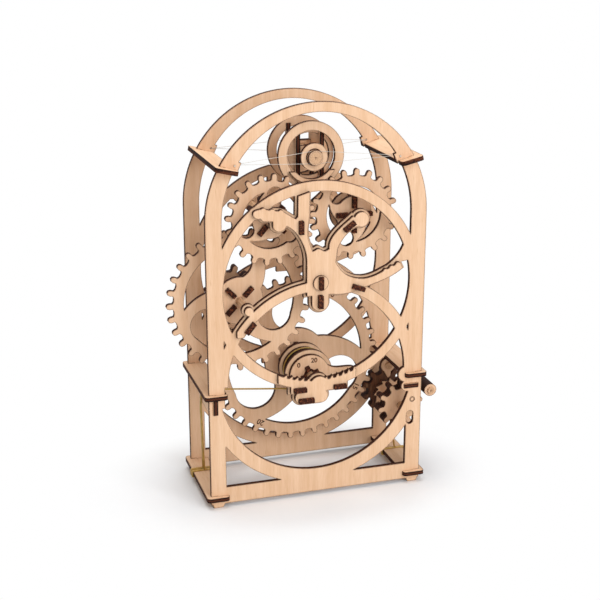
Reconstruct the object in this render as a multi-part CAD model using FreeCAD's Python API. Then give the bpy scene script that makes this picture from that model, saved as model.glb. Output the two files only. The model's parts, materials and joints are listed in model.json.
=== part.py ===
"""Plywood mechanical timer: arched frame, gear train, balance with pallets, winding crank.

Millimetres. X to the right, Y from the front to the back, Z up. Every wheel turns about an
axis parallel to Y. The functions draw the pieces about a line on the ground midway between the
posts; PLACE then carries them all so that the origin is below the middle of the whole.
"""
import FreeCAD, Part
import math
import os

V = FreeCAD.Vector

# ---- sheet, fits and clearances
PLY = 3.0               # thickness of every laser-cut sheet piece
SLOT_FIT = 0.05         # gap round a tab in its slot
BEARING_FIT = 0.08      # radial gap of a shaft in its bearing hole
PROUD = 1.2             # how far a tab's end stands out of its slot
KEY_PROUD = 2.7         # the same for the keys of the wheels and the bridges
STEM_PROUD = 3.6        # the same for the two tabs in the stem
PLACE = V(2.65, -1.5, 0)
NEAR = 0.01             # two lengths this close are taken as equal

# ---- frame
HALF_WIDTH = 77.6       # half the width over the posts
ARCH_Z = 202.4          # height of the centre of the round top
POST_WIDTH = 11.1
TOP_WIDTH = 6.7         # width of the arch band at its top
FRAME_GAP = 65.8        # clear space from front face to front face of the two frames
BAR_LOW = 2.7           # underside of the bottom bar, above the ground
BAR_TOP = 15.0
FOOT_LENGTH = 9.0
RING_1_Z = 154.4        # upper ring
RING_1_IN = HALF_WIDTH - 11.2
RING_1_WIDTH = 7.3
RING_2_Z = 91.0         # lower ring
RING_2_IN = HALF_WIDTH - 7.1
RING_2_WIDTH = 10.0
WAIST_Z = (20.0, 74.0)  # between these heights the posts are thinned by the lower ring's inside
BOW_Z = 89.0            # the lower ring's upper bow, which crosses the upper ring
BOW_IN = HALF_WIDTH - 13.6
BOW_WIDTH = 8.0
BEARING_BOSS = 8.0      # radius of the lug round the main axle
INSET = 1.5             # how far a bridge's outline stays inside the arms behind it
COVER = 0.5             # how far a bridge reaches past the bearing holes that it closes

# ---- brackets
BRACKET_WIDTH = 16.0
BRACKET_REACH = 3.4     # how far a bracket stands out of the frames, front and back
TOP_REACH = 7.6         # the same for the two top brackets
TOP_BRACKET = (HALF_WIDTH - 13.4, ARCH_Z + 34.9, 13.5)      # x, z and tilt of the top brackets
MID_BRACKET_LEFT_Z = 81.3
MID_BRACKET_RIGHT_Z = 82.2
BASE_PLATE_Z = 5.8
BRACKET_OUT = 3.2       # how far the lower brackets stand out sideways
BRACKET_CORNER = 2.5    # radius of a bracket's rounded corners

# ---- gear train
MODULE = 3.05
ESCAPE_MODULE = 2.95
ADDENDUM = 0.76         # share of the module
DEDENDUM = 0.96
FLANK = 0.66            # straight length of a tooth's flank as a share of the module
TOOTH_SHARE = 0.42      # tooth thickness as a share of the pitch
TIP_STEPS = 4           # facets round a tooth's tip
GULLET_STEPS = 3        # and round the gullet between two teeth
MAIN_TEETH = 40
SECOND_TEETH = 32
ESCAPE_TEETH = 20
PINION_TEETH = 10
ESCAPE_PINION_TEETH = 8
MAIN_Z = 84.5
SECOND_HEADING = 130.42 # direction of the second axle from the main one, in degrees
WINDING_X = HALF_WIDTH - 8.1    # the winding shaft, in the middle of the right post
PINION_LAYERS = 2
RIM = 7.0               # rim of a wheel below its teeth

# tooth angles at rest, in degrees: a tooth of each wheel points this way
MAIN_PHASE = -138.7
SECOND_PHASE = 146.3
ESCAPE_PHASE = 12.6

# ---- layers, as the front face of each piece
MAIN_Y = 20.0
SECOND_Y = -10.0
ESCAPE_Y = -20.0
DIAL_Y = -14.2
CRANK_Y = -2.0
RATCHET_Y = 8.0
RING_FRONT_Y = -16.4
RING_BACK_Y = 9.0

# ---- balance
BALANCE_RISE = 41.6     # height of the balance's axis above the escape wheels' axes
BALANCE_OUT = 23.1
BALANCE_IN = 16.8
INNER_RING = (17.6, 14.5)       # outer and inner radius of the thin ring behind the front one
STAFF_R = 4.0
CAP_R = 5.0
HUB_R = 9.4
CROSS_X = 8.4           # the two cross plates stand this far from the staff's axis

# ---- axles, drum, dial and crank
AXLE_R = 2.5
KEY_REACH = (4.6, 12.8) # the cross keys reach from one radius to the other
DIAL_KEY_REACH = (3.2, 6.6)
DRUM_R = 15.0
FLANGE_R = 17.5
DRUM_LENGTH = 12.0
DIAL_R = 14.6
POINTER_TIP = 32.5      # from the dial's centre to the pointer's tip
CRANK_RADIUS = 23.8
HANDLE_R = 4.7
HANDLE_LENGTH = 18.0
HANDLE_PIN_R = 1.5
CLICK_PIN_R = 1.5
RATCHET_TEETH = 12
RATCHET_R = 12.5

# ---- threads and rubber bands
THREAD_D = 0.5
KNOT_D = 1.6
BAND_D = 1.5
HORN = (HALF_WIDTH - 25.0, ARCH_Z + 40.3)    # the pointed shoulder that a thread is tied to
BAND_X = HALF_WIDTH - 5.0       # the standing run of each lower band, beside the posts

FRONT_Y = -FRAME_GAP / 2
BACK_Y = FRAME_GAP / 2
BRIDGE_Y = FRONT_Y - PLY
INNER_X = HALF_WIDTH - POST_WIDTH


# ---------------------------------------------------------------- small shapes
def polar(radius, degrees, centre=(0.0, 0.0)):
    angle = math.radians(degrees)
    return (centre[0] + radius * math.cos(angle), centre[1] + radius * math.sin(angle))


def point(p, y=0.0):
    return V(p[0], y, p[1])


def disc(centre, radius, y, length=PLY):
    return Part.makeCylinder(radius, length, point(centre, y), V(0, 1, 0))


def ring(centre, outer, inner, y, length=PLY):
    return disc(centre, outer, y, length).cut(disc(centre, inner, y, length))


def slab(x, z, y, length=PLY):
    """A box between the two x values and the two z values."""
    return Part.makeBox(x[1] - x[0], length, z[1] - z[0], V(x[0], y, z[0]))


def prism(edges, y, length=PLY):
    """Extrude a closed outline drawn at y = 0."""
    face = Part.Face(Part.Wire(edges))
    face.translate(V(0, y, 0))
    return face.extrude(V(0, length, 0))


def line(p, q):
    return Part.LineSegment(point(p), point(q)).toShape()


def arc(p, middle, q):
    return Part.Arc(point(p), point(middle), point(q)).toShape()


def polygon(points, y, length=PLY):
    edges = [line(p, q) for p, q in zip(points, points[1:] + points[:1])]
    return prism(edges, y, length)


def drawn(stretches, y, length=PLY):
    """A closed outline of stretches, each straight to its one point or smooth through its points."""
    edges = []
    here = stretches[-1][-1]
    for stretch in stretches:
        if len(stretch) == 1:
            edges.append(line(here, stretch[0]))
        else:
            curve = Part.BSplineCurve()
            curve.interpolate([point(p) for p in [here] + stretch])
            edges.append(curve.toShape())
        here = stretch[-1]
    return prism(edges, y, length)


def widened(points, by):
    """The points of a clockwise outline, each moved outwards."""
    moved = []
    for before, here, after in zip(points[-1:] + points[:-1], points, points[1:] + points[:1]):
        side_1 = math.radians(heading(before, here) + 90)
        side_2 = math.radians(heading(here, after) + 90)
        share = by / max(0.7, 1 + math.cos(side_1 - side_2))
        x = here[0] + share * (math.cos(side_1) + math.cos(side_2))
        z = here[1] + share * (math.sin(side_1) + math.sin(side_2))
        moved.append((x, z))
    return moved


def stadium(p, q, width, y, length=PLY):
    """A straight bar with round ends."""
    across = math.degrees(math.atan2(q[1] - p[1], q[0] - p[0])) + 90
    half = width / 2
    p1, p2, p3 = (polar(half, across + turn, p) for turn in (0, 90, 180))
    q1, q2, q3 = (polar(half, across - turn, q) for turn in (180, 90, 0))
    return prism([arc(p1, p2, p3), line(p3, q1), arc(q1, q2, q3), line(q3, p1)], y, length)


def heading(p, q):
    """The direction from p to q, in degrees."""
    return math.degrees(math.atan2(q[1] - p[1], q[0] - p[0]))


def rod(centre, radius, y0, y1):
    return disc(centre, radius, y0, y1 - y0)


def turned(shape, centre, degrees):
    """Turn a shape about an axis along Y; positive carries +X towards +Z."""
    copy = shape.copy()
    copy.rotate(point(centre), V(0, -1, 0), degrees)
    return copy


def upright_edges(plate):
    """The edges that go straight through a plate's thickness."""
    return [e for e in plate.Edges if abs(e.Length - PLY) < NEAR]


def mirrored(shape):
    return shape.mirror(V(0, 0, 0), V(1, 0, 0))


def fuse(shapes):
    return shapes[0].multiFuse(shapes[1:]).removeSplitter()


# ---------------------------------------------------------------- where the axles stand
MAIN_R = MAIN_TEETH * MODULE / 2
SECOND_R = SECOND_TEETH * MODULE / 2
ESCAPE_R = ESCAPE_TEETH * ESCAPE_MODULE / 2
PINION_R = PINION_TEETH * MODULE / 2
ESCAPE_PINION_R = ESCAPE_PINION_TEETH * MODULE / 2

MAIN = (0.0, MAIN_Z)
SECOND = polar(MAIN_R + PINION_R, SECOND_HEADING, MAIN)
ESCAPE_Z = SECOND[1] + math.sqrt((SECOND_R + ESCAPE_PINION_R) ** 2 - (SECOND[0] + ESCAPE_R) ** 2)
LEFT_ESCAPE = (-ESCAPE_R, ESCAPE_Z)
RIGHT_ESCAPE = (ESCAPE_R, ESCAPE_Z)
WINDING = (WINDING_X, MAIN_Z - math.sqrt((MAIN_R + PINION_R) ** 2 - WINDING_X ** 2))
BALANCE_Z = ESCAPE_Z + BALANCE_RISE
BALANCE = (0.0, BALANCE_Z)


# ---------------------------------------------------------------- gears
def mesh_phase(teeth_a, phase_a, centre_a, teeth_b, centre_b):
    """The tooth angle of gear b that puts a gap of b where gear a has a tooth."""
    towards = heading(centre_a, centre_b)
    ahead = (phase_a - towards) % (360.0 / teeth_a)
    return towards + 180 - ahead * teeth_a / teeth_b + 180.0 / teeth_b


def bow_points(centre, middle, half, radius, rise, steps):
    """Points over half an ellipse that stands on a circle, or hangs below it."""
    turns = [math.pi * k / steps for k in range(steps + 1)]
    return [polar(radius + rise * math.sin(t), middle - half * math.cos(t), centre) for t in turns]


def gear_blank(centre, teeth, module, phase, y, length=PLY):
    """A toothed disc: straight radial flanks, rounded tips and rounded gullets."""
    pitch_r = teeth * module / 2
    flank_r = pitch_r - FLANK * module
    pitch = 360.0 / teeth
    half = TOOTH_SHARE * pitch / 2
    points = []
    for tooth in range(teeth):
        middle = phase + tooth * pitch
        points += bow_points(centre, middle, half, pitch_r, ADDENDUM * module, TIP_STEPS)
        gap = middle + pitch / 2
        gullet = -(DEDENDUM - FLANK) * module
        points += bow_points(centre, gap, pitch / 2 - half, flank_r, gullet, GULLET_STEPS)
    return polygon(points, y, length)


def comma_window(centre, rim, hub, start, hand, y, length=PLY):
    """A comma-shaped window: pointed at the rim where it starts, round where it ends."""
    def at(radius, turn):
        return polar(radius, start + hand * turn, centre)

    middle = (rim + hub) / 2
    edges = [
        arc(at(rim, 0), at(rim, 42), at(rim, 84)),
        arc(at(rim, 84), at(middle, 115), at(hub, 104)),
        arc(at(hub, 104), at(hub, 72), at(hub, 40)),
        arc(at(hub, 40), at(middle, 17), at(rim, 0)),
    ]
    return prism(edges, y, length)


def window_set(centre, rim, hub, start, hand, y):
    return [comma_window(centre, rim, hub, start + k * 120, hand, y) for k in range(3)]


def wheel(centre, teeth, module, phase, hub, start, hand, y, key_angle):
    """A wheel with three windows, its axle's hole and the slots of its cross keys."""
    rim = teeth * module / 2 - DEDENDUM * module - RIM
    blank = gear_blank(centre, teeth, module, phase, y)
    cuts = window_set(centre, rim, hub, start, hand, y) + [disc(centre, AXLE_R, y)]
    return blank.cut(cuts + cross(centre, key_angle, y, y + PLY, SLOT_FIT))


def pinion(centre, teeth, phase, y, layers):
    blank = gear_blank(centre, teeth, MODULE, phase, y, layers * PLY)
    return blank.cut(disc(centre, AXLE_R, y, layers * PLY))


def cross(centre, key_angle, y0, y1, fit=0.0, reach=KEY_REACH):
    """Four radial keys round an axle; with a fit they are the slots for them."""
    keys = []
    for quarter in range(4):
        key = slab((reach[0] - fit, reach[1] + fit), (-PLY / 2 - fit, PLY / 2 + fit), y0, y1 - y0)
        key.translate(point(centre))
        keys.append(turned(key, centre, key_angle + quarter * 90))
    return keys


def key_group(centre, key_angle, y0, y1, reach=KEY_REACH):
    return Part.makeCompound(cross(centre, key_angle, y0, y1, 0.0, reach))


# ---------------------------------------------------------------- brackets between the frames
def bracket_box(u, w, y, length):
    return Part.makeBox(u[1] - u[0], length, w[1] - w[0], V(u[0], y, w[0]))


def placed(shape, place, side):
    """Move a shape drawn with u outwards and w upwards to its bracket's place."""
    x, z, tilt = place
    copy = shape.copy()
    copy.rotate(V(0, 0, 0), V(0, -1, 0), tilt)
    copy.translate(V(x, 0, z))
    return copy if side > 0 else mirrored(copy)


def bracket(place, side):
    """A plate from frame to frame, half-lapped into both of them from the outside."""
    half = BRACKET_WIDTH / 2
    reach = TOP_REACH if place is TOP_BRACKET else BRACKET_REACH
    y0 = FRONT_Y - reach
    length = FRAME_GAP + PLY + 2 * reach
    body = bracket_box((-half, half), (0, PLY), y0, length)
    corners = [e for e in upright_edges(body) if abs(e.Vertexes[0].X) > half - NEAR]
    body = body.makeFillet(BRACKET_CORNER, corners)
    laps = []
    for frame_y in (FRONT_Y, BACK_Y):
        lap = bracket_box((-half - 1, SLOT_FIT), (-1, PLY + 1), frame_y - SLOT_FIT, PLY + 2 * SLOT_FIT)
        laps.append(lap)
    return placed(body.cut(laps), place, side)


def bracket_slot(place, side, y):
    slot = bracket_box((0, BRACKET_WIDTH), (-SLOT_FIT, PLY + SLOT_FIT), y, PLY)
    return placed(slot, place, side)


LOWER_X = HALF_WIDTH + BRACKET_OUT - BRACKET_WIDTH / 2
BRACKETS = {
    "top_bracket_left": (TOP_BRACKET, -1),
    "top_bracket_right": (TOP_BRACKET, 1),
    "mid_bracket_left": ((LOWER_X, MID_BRACKET_LEFT_Z, 0), -1),
    "mid_bracket_right": ((LOWER_X, MID_BRACKET_RIGHT_Z, 0), 1),
    "base_plate_left": ((LOWER_X, BASE_PLATE_Z, 0), -1),
    "base_plate_right": ((LOWER_X, BASE_PLATE_Z, 0), 1),
}


# ---------------------------------------------------------------- the two frames
def ellipse(half_x, half_z, z, y, length=PLY):
    curve = Part.Ellipse(V(0, 0, z + half_z), V(half_x, 0, z), V(0, 0, z))
    return prism([curve.toShape()], y, length)


def outline(y):
    """The arched plate with its feet, before its openings."""
    body = slab((-HALF_WIDTH, HALF_WIDTH), (BAR_LOW, ARCH_Z), y)
    shapes = [body, disc((0, ARCH_Z), HALF_WIDTH, y)]
    for side in (-1, 1):
        outer = HALF_WIDTH - 1.0
        inner = outer - FOOT_LENGTH
        corners = [(outer, BAR_LOW), (outer - 0.8, 0), (inner + 1.5, 0), (inner, BAR_LOW)]
        shapes.append(polygon([(side * x, z) for x, z in corners], y))
    return fuse(shapes)


def arch_opening(y):
    """Everything inside the posts, the bottom bar and the arch band."""
    rise = HALF_WIDTH - TOP_WIDTH
    inside = slab((-INNER_X, INNER_X), (BAR_TOP, ARCH_Z), y)
    return inside.fuse(ellipse(INNER_X, rise, ARCH_Z, y))


def rings(y):
    """The upper ring, the lower half of the lower ring, and the bow that crosses them."""
    upper = ring((0, RING_1_Z), RING_1_IN + RING_1_WIDTH, RING_1_IN, y)
    lower = ring((0, RING_2_Z), RING_2_IN + RING_2_WIDTH, RING_2_IN, y)
    lower = lower.common(slab((-HALF_WIDTH, HALF_WIDTH), (BAR_LOW, RING_2_Z - 12), y))
    bow = ring((0, BOW_Z), BOW_IN + BOW_WIDTH, BOW_IN, y)
    bow = bow.common(slab((-HALF_WIDTH, HALF_WIDTH), (BOW_Z, RING_1_Z + RING_1_IN), y))
    return [upper, lower, bow]


# the arms are drawn about an upper ring and escape wheels at these places
DRAWN_RING_Z = 154.4
DRAWN_ESCAPE = (29.5, 200.2)


def fitted(x, z):
    """A point of the arms' drawing, carried to where the upper ring and escape wheels stand."""
    wide = ESCAPE_R / DRAWN_ESCAPE[0]
    tall = (ESCAPE_Z - RING_1_Z) / (DRAWN_ESCAPE[1] - DRAWN_RING_Z)
    return (x * wide, RING_1_Z + (z - DRAWN_RING_Z) * tall)


# the stem with the left arm and hand, the right arm, and the right hand; each row is one stretch
ARMS = (
    ((-9.1, 172),),
    ((-10.6, 183), (-14.8, 191.5), (-18.6, 196.2), (-23.2, 199.4)),
    ((-24.4, 197.4), (-27.6, 195.9), (-31, 196.9), (-32.6, 200)),
    ((-32.6, 203.2),),
    ((-39.4, 203.7),),
    ((-41, 205.6),),
    ((-44.4, 206.2), (-46.2, 208.8), (-44.6, 211.2)),
    ((-40, 212), (-33, 210.6), (-26, 209.4), (-20.4, 206.2), (-16.8, 203.8)),
    ((-15.4, 205.2),),
    ((-15.2, 219),),
    ((-7, 221.5),),
    ((-7.4, 210),),
    ((-8, 200), (-8.4, 191), (-6.6, 185), (-5.2, 180.8)),
    ((-3.4, 181.3), (-1, 182.3), (1.4, 181.3), (3.6, 180.1)),
    ((6.5, 181.4),),
    ((7, 185.8), (11.8, 193.2), (17, 197.8), (23.4, 203)),
    ((31, 196),),
    ((24, 194.6), (17.5, 189.4), (12.4, 181)),
    ((11.4, 172),),
    ((14, 167.8), (18.5, 163), (24.5, 160), (31.8, 158.8), (39, 160), (45.4, 162.6)),
    ((58, 168),),
    ((60, 164),),
    ((48, 157.4), (36, 153.6), (22, 149.6), (9, 149.6)),
    ((-9.1, 149.6),),
    ((-9.1, 158),),
)
# the wood between the right hand and the upper ring
SICKLE = (
    ((44.5, 163),),
    ((50.4, 166.6), (55.2, 170.6), (59.4, 175.8), (61.8, 181)),
    ((69, 181),),
    ((69, 169),),
    ((60, 167.6),),
    ((48, 160),),
)


def arms(y, by=0.0):
    """The stem with its arms and hands, drawn wider by a given length all round."""
    points = iter(widened([fitted(*p) for stretch in ARMS for p in stretch], by))
    return drawn([[next(points) for _ in stretch] for stretch in ARMS], y)


def bearing_bosses(y, by):
    """The round ends over the three upper axles, wider by a given length."""
    near = AXLE_R + BEARING_FIT + by
    return [disc(LEFT_ESCAPE, near, y), disc(RIGHT_ESCAPE, near + 2.2, y), disc(SECOND, near, y)]


def frame_arms(y):
    """The arms behind the bridge, a little wider than the bridge all round."""
    sickle = drawn([[fitted(*p) for p in stretch] for stretch in SICKLE], y)
    return [arms(y, INSET), sickle] + bearing_bosses(y, COVER + INSET)


def lumps(y):
    """Rounded lumps along the tops of the left and right hands."""
    left = [(-27, 208.4), (-33, 209.4), (-39, 210.4)]
    right = [(47.5, 162.4), (52, 164.4), (56.5, 166.4)]
    return [disc(fitted(*p), 2.3, y) for p in left] + [disc(fitted(*p), 1.9, y) for p in right]


def minute_ticks(y):
    """Saw-like ticks along the inside of the upper ring, round the main axle."""
    centre = (0, RING_1_Z)
    ticks = []
    for k in range(13):
        a = -112 + 3.7 * k
        points = [polar(RING_1_IN + 1, a - 1.6, centre), polar(RING_1_IN + 1, a + 1.6, centre)]
        points.append(polar(RING_1_IN - 2.4, a + 1.0, centre))
        ticks.append(polygon(points, y))
    return ticks


def dial_lug(y, inset=0.0):
    """The lug below the upper ring that carries the main axle, with a round-ended lobe."""
    x, z = MAIN
    wide = 13.0 - 2 * inset
    lobe = stadium((x - 12.4, z - 8), (x + 1.6, z - 8), wide, y)
    body = slab((x - 22 + inset, x + 22 - inset), (z - 6 + inset, z + 1.4), y)
    return [lobe, body, disc(MAIN, BEARING_BOSS - inset, y)]


def horns(y):
    """The pointed shoulders inside the arch that the suspension threads are tied to."""
    tip_x, tip_z = HORN
    outside = [(12, -7.6), (2.6, -6), (0, 0), (4.4, 1.6), (12, 1.6)]
    right = [(tip_x + x, tip_z + z) for x, z in outside]
    left = [(-x, z) for x, z in right]
    return [polygon(right, y), polygon(left, y)]


def post_bulges(y):
    """Round bulges inside the right post, behind the middle bracket and the shelf."""
    upper = disc((INNER_X - 0.9, MID_BRACKET_RIGHT_Z + 2.0), 5.7, y)
    lower = disc((INNER_X + 0.1, SHELF_Z + PLY / 2), 4.2, y)
    return [upper, lower]


def frame_body(y):
    posts = outline(y).cut(arch_opening(y))
    waist = disc((0, RING_2_Z), RING_2_IN, y).common(slab((-HALF_WIDTH, HALF_WIDTH), WAIST_Z, y))
    parts = [posts.cut(waist)] + rings(y) + frame_arms(y)
    return fuse(parts + horns(y) + post_bulges(y) + dial_lug(y)).common(outline(y))


AXLES = (MAIN, SECOND, LEFT_ESCAPE, RIGHT_ESCAPE)
AXLE_ENDS = (FRONT_Y + 0.3, BACK_Y + PLY + PROUD)
POST_PIN = (HALF_WIDTH - 6.6, 64.5)       # a pin's end, level with the post, with a seam round it


def frame(y):
    """A frame with its bearing holes, the winding shaft's slot and the brackets' slots."""
    cuts = [disc(axle, AXLE_R + BEARING_FIT, y) for axle in AXLES]
    low = (WINDING[0], WINDING[1] - 5)
    cuts.append(stadium(low, WINDING, 2 * (AXLE_R + BEARING_FIT), y))
    cuts += [thread_cut(side, y) for side in (-1, 1)]
    for place, side in BRACKETS.values():
        cuts.append(bracket_slot(place, side, y))
    return frame_body(y).cut(cuts)


# ---------------------------------------------------------------- bridges and their keys
def key_place(x, z, tilt, length=9.0):
    """The centre, tilt and length of a key that holds a bridge to the front frame."""
    return (*fitted(x, z), tilt, length)


def main_key_place(x, z, length):
    return (MAIN[0] + x, MAIN[1] + z, 0, length)


STEM_KEYS = (key_place(0.5, 158.5, 90), key_place(0.3, 145.3, 90))
ARM_KEYS = (
    key_place(-13.2, 197.8, 90),
    key_place(20.6, 196.2, 36),
    key_place(27.6, 152.6, -20),
    key_place(-48.9, 131.0, 50),
)
MAIN_BRIDGE_KEYS = (
    main_key_place(-14, -2, 9),
    main_key_place(15, -2.4, 9),
    main_key_place(-9.5, -10.2, 11),
)
BRIDGE_KEYS = STEM_KEYS + ARM_KEYS + MAIN_BRIDGE_KEYS


def key_slot(place, y, fit=SLOT_FIT):
    x, z, tilt, length = place
    half = length / 2
    slot = slab((x - half - fit, x + half + fit), (z - PLY / 2 - fit, z + PLY / 2 + fit), y)
    return turned(slot, (x, z), tilt)


def bridge_key(place):
    """A tab through a bridge and the front frame, its ends standing out on both sides."""
    x, z, tilt, length = place
    out = STEM_PROUD if place in STEM_KEYS else KEY_PROUD
    y0 = BRIDGE_Y - out
    tab = slab((x - length / 2, x + length / 2), (z - PLY / 2, z + PLY / 2), y0, 2 * PLY + out + PROUD)
    return turned(tab, (x, z), tilt)


def bridge_keys():
    return Part.makeCompound([bridge_key(place) for place in BRIDGE_KEYS])


def stem_lug(y, inset):
    return stadium(fitted(0.5, 158), fitted(0.5, 144), 15 - 2 * inset, y)


def front_bridge():
    """The plate in front of the stem and arms, which closes the holes of three of the axles."""
    y = BRIDGE_Y
    bow = ring((0, BOW_Z), BOW_IN + BOW_WIDTH - INSET, BOW_IN, y)
    left_bow = bow.common(slab((-58, 4), (MAIN_Z + 40, RING_1_Z + 8), y))
    shapes = [arms(y), left_bow, stem_lug(y, INSET)] + lumps(y) + bearing_bosses(y, COVER)
    return fuse(shapes).cut([key_slot(place, y) for place in STEM_KEYS + ARM_KEYS])


def main_bridge():
    """The plate with the minute ticks in front of the lug, which closes the main axle's hole."""
    y = BRIDGE_Y
    band = ring((0, RING_1_Z), RING_1_IN + RING_1_WIDTH - INSET, RING_1_IN, y)
    band = band.common(slab((-29.5, 27), (MAIN_Z - 12, MAIN_Z + 12), y))
    plate = fuse([band] + minute_ticks(y) + dial_lug(y, INSET))
    return plate.cut([key_slot(place, y) for place in MAIN_BRIDGE_KEYS])


def front_frame():
    cuts = [key_slot(place, FRONT_Y) for place in BRIDGE_KEYS]
    cuts += [guide_slot(), shelf_slot(), ring(POST_PIN, 1.9, 1.4, FRONT_Y, 0.6)]
    return frame(FRONT_Y).fuse(stem_lug(FRONT_Y, 0)).removeSplitter().cut(cuts)


def back_frame():
    pin_hole = disc(CLICK_PIVOT, CLICK_PIN_R + SLOT_FIT, BACK_Y)
    return frame(BACK_Y).fuse(disc(CLICK_PIVOT, 4.5, BACK_Y)).removeSplitter().cut(pin_hole)


def stem_washer():
    """A round washer in front of the bridge, held by the end of the upper stem key."""
    x, z, tilt, length = STEM_KEYS[0]
    washer = disc((x, z), 5.4, BRIDGE_Y - 1.5, 1.5)
    return washer.cut(key_slot(STEM_KEYS[0], BRIDGE_Y - PLY))


# ---------------------------------------------------------------- guides for the rubber bands
GUIDE_Z = (70.0, 80.0)
GUIDE_LOW = 66.0
GUIDE_BACK = 14.0
GUIDE_X = 2.9 - HALF_WIDTH
GUIDE_CORNER = 6.0
EYE_R = 1.6
EYE = (-2.2, 77.2)      # y and z of the hole the drive band runs through
SHELF_Z = 73.7
SHELF_X = (INNER_X - 2.0, HALF_WIDTH - 2.6)
SHELF_LENGTH = 12.0


def guide_slot():
    x = (GUIDE_X - SLOT_FIT, GUIDE_X + PLY + SLOT_FIT)
    return slab(x, (GUIDE_Z[0] - SLOT_FIT, GUIDE_Z[1] + SLOT_FIT), FRONT_Y)


def band_guide_left():
    """An upright plate below the left middle bracket, with a tab through the front frame."""
    x0 = GUIDE_X
    top = MID_BRACKET_LEFT_Z - SLOT_FIT
    y0 = FRONT_Y + PLY
    body = Part.makeBox(PLY, GUIDE_BACK - y0, top - GUIDE_LOW, V(x0, y0, GUIDE_LOW))
    low_back = [e for e in upright_edges(body) if e.CenterOfMass.z < GUIDE_LOW + 1]
    body = body.makeFillet(GUIDE_CORNER, low_back)
    length = PLY + PROUD
    tab = Part.makeBox(PLY, length, GUIDE_Z[1] - GUIDE_Z[0], V(x0, FRONT_Y - PROUD, GUIDE_Z[0]))
    eye = Part.makeCylinder(EYE_R, PLY, V(x0, *EYE), V(1, 0, 0))
    return body.fuse(tab).removeSplitter().cut(eye)


def shelf_slot():
    x = (SHELF_X[0] - SLOT_FIT, SHELF_X[1] + SLOT_FIT)
    return slab(x, (SHELF_Z - SLOT_FIT, SHELF_Z + PLY + SLOT_FIT), FRONT_Y)


def band_shelf_right():
    """A short shelf through the right post, under the middle bracket."""
    y0 = FRONT_Y - PROUD
    body = Part.makeBox(SHELF_X[1] - SHELF_X[0], SHELF_LENGTH, PLY, V(SHELF_X[0], y0, SHELF_Z))
    ends = [e for e in upright_edges(body) if e.CenterOfMass.y > y0 + 1]
    return body.makeFillet(BRACKET_CORNER, ends)


# ---------------------------------------------------------------- threads and rubber bands
CORD_GAP = 0.3          # between a turn of thread or band and what it is wound on
LOOP_GAP = 0.35         # between a band's loop and the base plate inside it
HOOP_SIDES = 14
DRUM_HOOP_SIDES = 18
STRIP_TURN = 10         # a cord's square section is turned this far about its run, in degrees
THREAD_Y = 23.8         # the threads stand this far in front of and behind the middle
CAP_Y = THREAD_Y + 0.9
CAP_LENGTH = 1.8
THREAD_HOLE = (4.6, -1.6)       # from a shoulder's point to its thread's hole, outwards and up
DRIVE_BAND_YS = (9.0, 12.5)     # the drive band's two lower runs
WINDING_BAND_Y = 5.0    # the winding band's loop round its base plate
BAND_LOW_Z = BASE_PLATE_Z + PLY + LOOP_GAP + BAND_D / 2


def strip(points, width):
    """A cord of square section along straight runs, each a little longer than its stretch."""
    runs = []
    for a, b in zip(points, points[1:]):
        start, end = V(*a), V(*b)
        over = width * 0.45
        corner = V(-width / 2, -width / 2, -over)
        run = Part.makeBox(width, width, (end - start).Length + 2 * over, corner)
        run.rotate(V(0, 0, 0), V(0, 0, 1), STRIP_TURN)
        turn = FreeCAD.Rotation(V(0, 0, 1), end - start)
        run.Placement = FreeCAD.Placement(start, turn).multiply(run.Placement)
        runs.append(run)
    return runs


def hoop(centre, radius, y, width, sides=HOOP_SIDES):
    """A cord's turn round something, as a ring of flat sides."""
    turns = [k * 360.0 / sides for k in range(sides)]
    plates = []
    for r in (radius + width / 2, radius - width / 2):
        plates.append(polygon([polar(r, turn, centre) for turn in turns], y - width / 2, width))
    return plates[0].cut(plates[1])


def hoop_radius(radius, width, sides):
    """The radius of such a turn's middle, clear of the round thing that it lies on."""
    return (radius + CORD_GAP) / math.cos(math.pi / sides) + width / 2


def joined(shapes):
    return shapes[0].multiFuse(shapes[1:])


def thread_hole(side):
    """The small hole in a shoulder of the arch that holds a thread's knot."""
    return (side * (HORN[0] + THREAD_HOLE[0]), HORN[1] + THREAD_HOLE[1])


def thread_cut(side, y):
    """That hole, square and just wider than the thread."""
    x, z = thread_hole(side)
    half = 0.71 * THREAD_D + SLOT_FIT
    return slab((x - half, x + half), (z - half, z + half), y)


def suspension_thread(side):
    """One thread round the staff, knotted through the arch on both sides; side -1 is the front."""
    y = side * THREAD_Y
    near = FRONT_Y + PLY + 0.5 if side < 0 else BACK_Y - 0.5
    far = FRONT_Y - KNOT_D / 2 if side < 0 else BACK_Y + PLY + KNOT_D / 2
    wrap = hoop_radius(STAFF_R, THREAD_D, HOOP_SIDES)
    shapes = [hoop(BALANCE, wrap, y, THREAD_D)]
    for hand in (-1, 1):
        x, z = thread_hole(hand)
        for up in (-1, 1):
            shapes += strip([(0, y, BALANCE_Z + up * wrap), (x, near, z)], THREAD_D)
        shapes += strip([(x, near, z), (x, far, z)], THREAD_D)
        corner = V(x - KNOT_D / 2, far - KNOT_D / 2, z - KNOT_D / 2)
        shapes.append(Part.makeBox(KNOT_D, KNOT_D, KNOT_D, corner))
    return joined(shapes)


def wrap_loop(side, y):
    """A rubber band's turn round a base plate."""
    gap = LOOP_GAP + BAND_D / 2
    x0 = HALF_WIDTH + BRACKET_OUT + gap
    x1 = x0 - BRACKET_WIDTH - 2 * gap
    z0 = BASE_PLATE_Z - gap
    z1 = BASE_PLATE_Z + PLY + gap
    half = BAND_D / 2
    outer_x = sorted((side * (x0 + half), side * (x1 - half)))
    inner_x = sorted((side * (x0 - half), side * (x1 + half)))
    outside = slab(outer_x, (z0 - half, z1 + half), y - half, BAND_D)
    inside = slab(inner_x, (z0 + half, z1 - half), y - half, BAND_D)
    return outside.cut(inside)


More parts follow.
